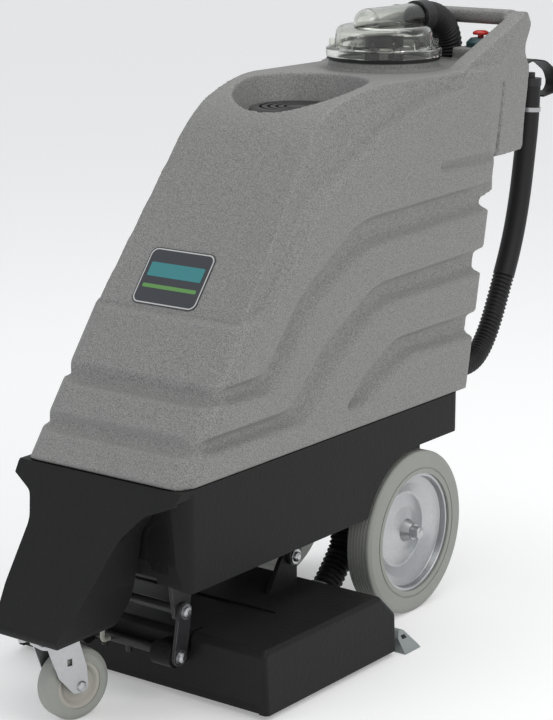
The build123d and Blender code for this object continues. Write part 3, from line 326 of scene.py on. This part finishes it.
# Clear dome, a little smeared
domeLook = {
    "pale": (0.93, 0.94, 0.90), "dull": (0.86, 0.88, 0.83), "smearScale": 22.0, "smearDetail": 5.0,
    "smearRough": 0.6, "haze": 0.03, "hazeSpread": 0.10, "bending": 1.46}
domeGlass = bpy.data.materials.new("domeClear")
domeGlass.use_nodes = True
tree = domeGlass.node_tree
shader = tree.nodes["Principled BSDF"]
smear = objectNoise(tree, domeLook["smearScale"], domeLook["smearDetail"], domeLook["smearRough"])
tree.links.new(mixColour(tree, smear, domeLook["pale"], domeLook["dull"]), shader.inputs["Base Color"])
haze = mathNode(tree, "MULTIPLY_ADD", smear, domeLook["hazeSpread"])
haze.node.inputs[2].default_value = domeLook["haze"]
tree.links.new(haze, shader.inputs["Roughness"])
shader.inputs["Transmission Weight"].default_value = 1.0
shader.inputs["IOR"].default_value = domeLook["bending"]
materials["domeClear"] = domeGlass
print("materials made:", len(materials))

finishOf = {
    "tankGrey": ["tank_shell", "tank_divider"],
    "housingBlack": ["base_housing", "brush_housing", "belt_cover"],
    "plainBlack": [
        "fill_cap", "drain_plug", "drain_spigot", "hose_cuff", "duct_collar", "switch_panel",
        "power_inlet", "brush_switch", "vacuum_switch", "pump_switch", "solution_pump", "vacuum_fan",
        "spray_bar", "float_cage"],
    "rubberBlack": [
        "dome_gasket", "recovery_hose", "shoe_hose", "drain_hose", "hose_strap", "drive_belt"],
    "tyreGrey": ["tyre_left", "tyre_right", "caster_tyre"],
    "zincPlate": [
        "caster_plate", "caster_fork", "caster_axle", "caster_bolts", "hose_clamp", "axle_caps",
        "wheel_disc_left", "wheel_disc_right", "lift_shaft_bolts", "lower_link_bolts", "rear_axle",
        "motor_pulley", "fill_strainer"],
    "steelPaint": [
        "front_link_arms", "rear_link_arms", "lift_shaft", "front_crossmember", "rear_crossmember",
        "brush_motor", "vacuum_motor"],
    "hubBeige": ["caster_hub"],
    "stopRed": ["stop_button"],
    "switchTeal": ["stop_switch"],
    "pipeGrey": ["vacuum_standpipe", "recovery_pipe", "brush_core"],
    "shoeAlloy": ["vacuum_shoe"],
    "bristleBlack": ["brush_bristles"],
    "floatIvory": ["float_ball"],
    "tubeMilky": ["solution_tube"],
    "labelFilm": ["label_plate"],
    "domeClear": ["dome_lid"],
}
for finishName, members in finishOf.items():
    for member in members:
        slots = nodes[member].material_slots
        for index in range(len(slots)):
            slots[index].material = materials[finishName]


def withFinish(piece, finishName):
    piece.data.materials.clear()
    piece.data.materials.append(materials[finishName])


def copyOfNode(nodeName, pieceName):
    piece = nodes[nodeName].copy()
    piece.data = nodes[nodeName].data.copy()
    piece.name = pieceName
    piece.parent = None
    piece.matrix_world = Matrix.Identity(4)
    for key in list(piece.keys()):
        if key.startswith("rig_"):
            del piece[key]
    bpy.context.scene.collection.objects.link(piece)
    return piece


def onlySelect(piece):
    bpy.ops.object.select_all(action="DESELECT")
    piece.select_set(True)
    bpy.context.view_layer.objects.active = piece


def mergePoints(piece, distance=0.00002):
    onlySelect(piece)
    bpy.ops.object.mode_set(mode="EDIT")
    bpy.ops.mesh.select_all(action="SELECT")
    bpy.ops.mesh.remove_doubles(threshold=distance)
    bpy.ops.object.mode_set(mode="OBJECT")


def applyModifier(piece, kind, **settings):
    onlySelect(piece)
    modifier = piece.modifiers.new(kind.title(), kind)
    for key, value in settings.items():
        setattr(modifier, key, value)
    bpy.ops.object.modifier_apply(modifier=modifier.name)


def plugAt(centre, radius, depth, lean=(0, 0, 0)):
    bpy.ops.object.select_all(action="DESELECT")
    bpy.ops.mesh.primitive_cylinder_add(
        vertices=48, radius=radius, depth=depth, location=centre, rotation=lean)
    return bpy.context.object


# Rotomoulded skin: the tank's outside only, its edges softened as a mould leaves them
tankSkin = {
    "voxel": 0.0031, "mostFaces": 195000, "soften": 1,
    "uprightPlugs": [  # x, y from the axle, middle height, radius
        (0, 0.1155, 0.767, 0.074), (0, -0.105, 0.752, 0.060), (0, 0.300, 0.803, 0.024),
        (-0.040, -0.095, 0.3285, 0.024), (0.060, -0.060, 0.3285, 0.024)],
    "levelPlugs": [(0.090, 0.146, 0.347, 0.021), (-0.050, 0.327, 0.735, 0.019)],
    "plugDepth": 0.007,
}
skin = copyOfNode("tank_shell", "tankSkin")
mergePoints(skin)
plugs = []
for name, lean in (("uprightPlugs", (0, 0, 0)), ("levelPlugs", (math.pi / 2, 0, 0))):
    for x, y, z, radius in tankSkin[name]:
        plugs.append(plugAt((x, axleY + y, z), radius, tankSkin["plugDepth"], lean))
onlySelect(skin)
for plug in plugs:
    plug.select_set(True)
bpy.ops.object.join()
applyModifier(skin, "REMESH", mode="VOXEL", voxel_size=tankSkin["voxel"], use_smooth_shade=True)
onlySelect(skin)
bpy.ops.mesh.separate(type="LOOSE")
shells = [piece for piece in bpy.context.selected_objects if piece.type == "MESH"]
shells.sort(key=lambda piece: piece.dimensions.length, reverse=True)
skin = shells[0]
skin.name = "tankSkin"
for shell in shells[1:]:
    bpy.data.objects.remove(shell)
applyModifier(skin, "SMOOTH", factor=0.5, iterations=tankSkin["soften"])
triangles = sum(len(polygon.vertices) - 2 for polygon in skin.data.polygons)
if triangles > tankSkin["mostFaces"]:
    applyModifier(skin, "DECIMATE", ratio=tankSkin["mostFaces"] / triangles)
onlySelect(skin)
bpy.ops.object.shade_smooth()
withFinish(skin, "tankGrey")
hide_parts("tank_shell")
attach(skin, "chassis")
print("tank skin:", len(skin.data.polygons), "faces of", triangles, "triangles")


# Plain print on the front label: a light border, one wide stripe and one thin one, right across
labelPrint = {
    "middle": (-0.0143, -0.378, 0.56489), "across": (1, 0, 0), "outward": (0, -0.7918, 0.6107),
    "lift": 0.0006, "thick": 0.0005,
    "blocks": [  # right and up from the middle, width, height, corner radius, layer, finish
        (0, 0, 0.113, 0.086, 0.011, 0, "labelBorder"), (0, 0, 0.109, 0.082, 0.0095, 1, "labelFilm"),
        (0, 0.010, 0.096, 0.022, 0.002, 2, "labelTeal"), (0, -0.016, 0.096, 0.006, 0.002, 2, "labelGreen")],
    "corners": 8,
}


def labelBlock(name, right, up, width, height, radius, layer, finishName):
    outward = Vector(labelPrint["outward"]).normalized()
    across = Vector(labelPrint["across"])
    upward = outward.cross(across)
    middle = Vector(labelPrint["middle"]) + Vector((0, axleY, 0)) + across * right + upward * up
    low = labelPrint["lift"] + layer * labelPrint["thick"] * 0.5
    shape = bmesh.new()
    rim = []
    for quarter, (sideX, sideY) in enumerate(((1, 1), (-1, 1), (-1, -1), (1, -1))):
        for number in range(labelPrint["corners"] + 1):
            angle = math.pi / 2 * (quarter + number / labelPrint["corners"])
            rimX = sideX * (width / 2 - radius) + radius * math.cos(angle)
            rimY = sideY * (height / 2 - radius) + radius * math.sin(angle)
            rim.append((rimX, rimY))
    rings = [[shape.verts.new(middle + across * x + upward * y + outward * level) for x, y in rim]
             for level in (0.0, low + labelPrint["thick"])]
    for index in range(len(rim)):
        after = (index + 1) % len(rim)
        shape.faces.new((rings[0][index], rings[0][after], rings[1][after], rings[1][index]))
    shape.faces.new(rings[1])
    shape.faces.new(list(reversed(rings[0])))
    bmesh.ops.recalc_face_normals(shape, faces=shape.faces)
    mesh = bpy.data.meshes.new(name)
    shape.to_mesh(mesh)
    shape.free()
    piece = bpy.data.objects.new(name, mesh)
    bpy.context.scene.collection.objects.link(piece)
    withFinish(piece, finishName)
    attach(piece, "chassis")
    return piece


for number, block in enumerate(labelPrint["blocks"]):
    labelBlock(f"labelBlock{number}", *block)
print("label made")


def routePoints(places, order=3, fineness=24):
    # the points of one smooth line that the route's control points steer
    curve = bpy.data.curves.new("route", "CURVE")
    curve.dimensions = "3D"
    curve.resolution_u = fineness
    spline = curve.splines.new("NURBS")
    spline.points.add(len(places) - 1)
    for point, place in zip(spline.points, places):
        point.co = (*place, 1)
    spline.order_u = order
    spline.use_endpoint_u = True
    holder = bpy.data.objects.new("route", curve)
    bpy.context.scene.collection.objects.link(holder)
    bpy.context.view_layer.update()
    line = bpy.data.meshes.new_from_object(holder)
    points = [vertex.co.copy() for vertex in line.vertices]
    bpy.data.objects.remove(holder)
    return points


def evenPoints(points, step):
    lengths = [0.0]
    for before, here in zip(points, points[1:]):
        lengths.append(lengths[-1] + (here - before).length)
    count = max(2, round(lengths[-1] / step))
    result = []
    index = 0
    for number in range(count + 1):
        target = lengths[-1] * number / count
        while index < len(points) - 2 and lengths[index + 1] < target:
            index += 1
        share = (target - lengths[index]) / max(lengths[index + 1] - lengths[index], 1e-9)
        result.append(points[index].lerp(points[index + 1], min(max(share, 0), 1)))
    return result, lengths[-1]


def hosePiece(name, places, radiusAt, step, sides=40):
    # rings along the route, each as wide as radiusAt says at its distance
    points, total = evenPoints(routePoints(places), step)
    mesh = bpy.data.meshes.new(name)
    shape = bmesh.new()
    sideways = Vector((1, 0, 0))
    rings = []
    for number, point in enumerate(points):
        along = (points[min(number + 1, len(points) - 1)] - points[max(number - 1, 0)]).normalized()
        sideways = (sideways - along * sideways.dot(along)).normalized()
        across = along.cross(sideways)
        radius = radiusAt(total * number / (len(points) - 1), total)
        ring = [shape.verts.new(point + (sideways * math.cos(a) + across * math.sin(a)) * radius)
                for a in (2 * math.pi * side / sides for side in range(sides))]
        rings.append(ring)
    for before, here in zip(rings, rings[1:]):
        for side in range(sides):
            after = (side + 1) % sides
            shape.faces.new((before[side], before[after], here[after], here[side]))
    shape.faces.new(list(reversed(rings[0])))
    shape.faces.new(rings[-1])
    bmesh.ops.recalc_face_normals(shape, faces=shape.faces)
    shape.to_mesh(mesh)
    shape.free()
    piece = bpy.data.objects.new(name, mesh)
    bpy.context.scene.collection.objects.link(piece)
    onlySelect(piece)
    bpy.ops.object.shade_smooth_by_angle(angle=math.radians(50))
    return piece, total


def station(x, y, z):
    return (x / 1000, y / 1000 + axleY, z / 1000)


# Ribbed vacuum hose from the dome back into the tank
vacHose = {"radius": 0.0230, "ribDepth": 0.0028, "pitch": 0.0072, "step": 0.0009}


def ribbed(look):
    def radiusAt(distance, total):
        wave = 0.5 + 0.5 * math.cos(2 * math.pi * distance / look["pitch"])
        return look["radius"] - look["ribDepth"] * (1 - wave ** 0.6)
    return radiusAt


vacRoute = [(0, 228, 888), (0, 262.5, 888), (0, 300, 850.5), (0, 300, 820.6)]
piece, length = hosePiece(
    "vacHose", [station(*place) for place in vacRoute], ribbed(vacHose), vacHose["step"])
print("vacuum hose", round(length, 3))
withFinish(piece, "rubberBlack")
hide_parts("recovery_hose")
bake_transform(piece)

# Drain hose down the back: corrugated round its lower bend, smooth above
drainHose = {
    "radius": 0.0175, "ribDepth": 0.0026, "pitch": 0.0068, "ribsFrom": 0.020, "ribsTo": 0.235,
    "step": 0.00115}


def drainRadius(distance, total):
    if drainHose["ribsFrom"] < distance < drainHose["ribsTo"]:
        wave = 0.5 + 0.5 * math.cos(2 * math.pi * (distance - drainHose["ribsFrom"]) / drainHose["pitch"])
        return drainHose["radius"] - drainHose["ribDepth"] * (1 - wave ** 0.6)
    return drainHose["radius"]


drainRoute = [
    (90, 168.4, 347), (90, 188, 347), (90, 220, 337), (90, 258, 345), (90, 294, 381), (90, 332, 455),
    (90, 362, 519), (90, 382, 587), (90, 394, 657), (90, 404, 719), (90, 405, 769)]
piece, length = hosePiece(
    "drainHose", [station(*place) for place in drainRoute], drainRadius, drainHose["step"])
print("drain hose", round(length, 3))
withFinish(piece, "rubberBlack")
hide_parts("drain_hose")
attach(piece, "chassis")

# Ribbed hose behind the brush deck
shoeHose = {"radius": 0.0220, "ribDepth": 0.0032, "pitch": 0.0085, "step": 0.0011}
shoeRoute = [(60, -115.7, 50.3), (60, -88, 78), (60, -60, 112), (60, -60, 179.6)]
piece, length = hosePiece(
    "shoeHose", [station(*place) for place in shoeRoute], ribbed(shoeHose), shoeHose["step"])
print("shoe hose", round(length, 3))
withFinish(piece, "rubberBlack")
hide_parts("shoe_hose")
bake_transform(piece)
print("hoses made")

# Floor
floorSize = 90
bpy.ops.object.select_all(action="DESELECT")
bpy.ops.mesh.primitive_plane_add(size=floorSize, location=(0, 0, 0))
floor = bpy.context.object
floor.name = "floor"
floorPaint = bpy.data.materials.new("floorPaint")
floorPaint.use_nodes = True
floorLook = {
    "Base Color": (0.84, 0.84, 0.84, 1), "Roughness": 0.6,
    "Emission Color": (1, 1, 1, 1), "Emission Strength": 0.26}
for socketName, value in floorLook.items():
    floorPaint.node_tree.nodes["Principled BSDF"].inputs[socketName].default_value = value
floor.data.materials.append(floorPaint)
